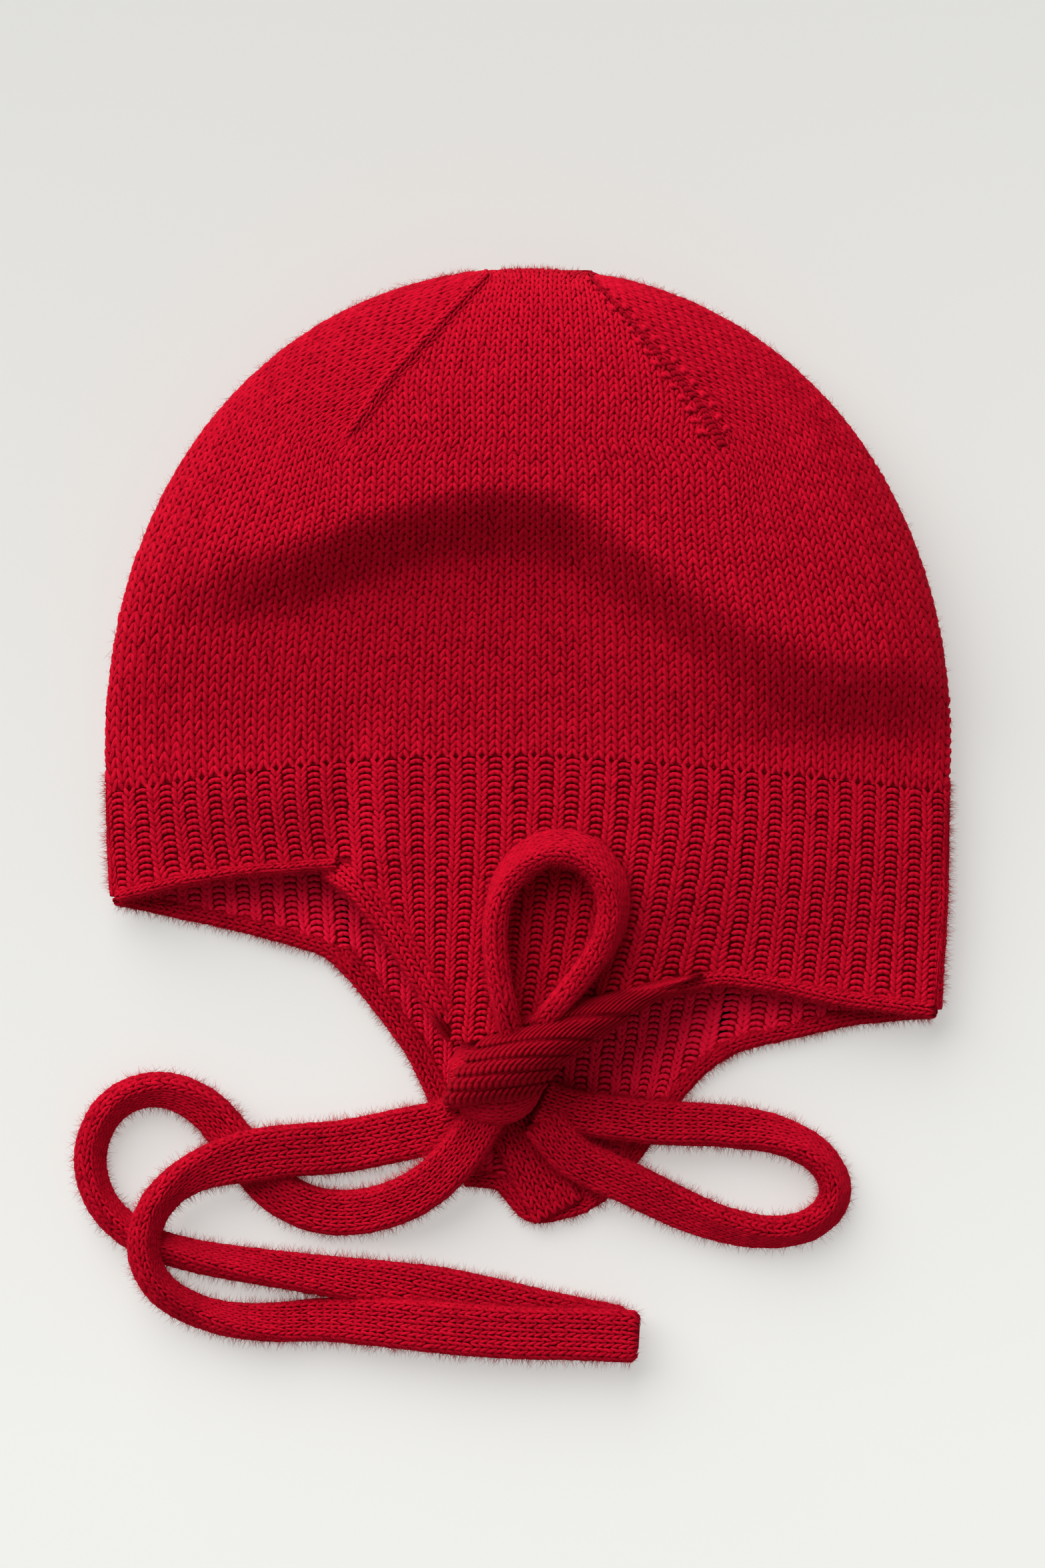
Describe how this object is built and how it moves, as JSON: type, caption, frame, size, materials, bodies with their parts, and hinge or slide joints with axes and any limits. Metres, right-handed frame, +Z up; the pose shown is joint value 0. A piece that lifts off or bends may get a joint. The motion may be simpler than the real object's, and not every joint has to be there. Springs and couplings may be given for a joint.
{
  "type": "knit beanie",
  "caption": "Soft knit bonnet beanie with a gored crown, ribbed border, ear flaps and flat tubular ties knotted in a bow, laid flat on its side.",
  "frame": {"origin": "on the table under the middle of the hat, ties left out", "axes": "+X from the brow fold to the nape fold, +Y from the ties to the crown, +Z up from the table through both layers"},
  "size_m": [0.2618, 0.321, 0.0499],
  "materials": {
    "stocking_stitch": "fuzzy cashmere stocking stitch",
    "rib_knit": "fuzzy cashmere rib",
    "linking_yarn": "linked seam in the same yarn",
    "tubular_knit_tie": "fuzzy tubular knit"
  },
  "bodies": {
    "hat": {"left_crown_gore": "stocking_stitch", "right_crown_gore": "stocking_stitch", "front_crown_gore": "stocking_stitch", "back_crown_gore": "stocking_stitch", "front_left_gore_seam": "linking_yarn", "back_left_gore_seam": "linking_yarn", "front_right_gore_seam": "linking_yarn", "back_right_gore_seam": "linking_yarn", "crown_closure": "linking_yarn", "crown_body": "stocking_stitch", "back_seam": "linking_yarn", "brow_rib_band": "rib_knit", "nape_rib_band": "rib_knit", "left_ear_flap": "rib_knit", "right_ear_flap": "rib_knit", "left_flap_twist": "rib_knit", "bow_knot": "rib_knit"},
    "upper_loop": {"upper_bow_loop": "tubular_knit_tie"},
    "side_loop": {"side_bow_loop": "tubular_knit_tie"},
    "tails": {"left_tie_tail": "tubular_knit_tie", "left_tie_end": "tubular_knit_tie", "right_tie_tail": "tubular_knit_tie", "right_tie_end": "tubular_knit_tie"}
  },
  "joints": [
    {"name": "upper_loop_lift", "type": "hinge", "parent": "hat", "child": "upper_loop", "pos_m": [0.001, -0.078, 0.03], "axis": [1, 0, 0], "range_deg": [0, 95]},
    {"name": "side_loop_lift", "type": "hinge", "parent": "hat", "child": "side_loop", "pos_m": [0.009, -0.114, 0.009], "axis": [0, -1, 0], "range_deg": [0, 60]},
    {"name": "tails_swing", "type": "hinge", "parent": "hat", "child": "tails", "pos_m": [-0.0092, -0.095, 0], "axis": [0, 0, 1], "range_deg": [-9, 9]}
  ]
}
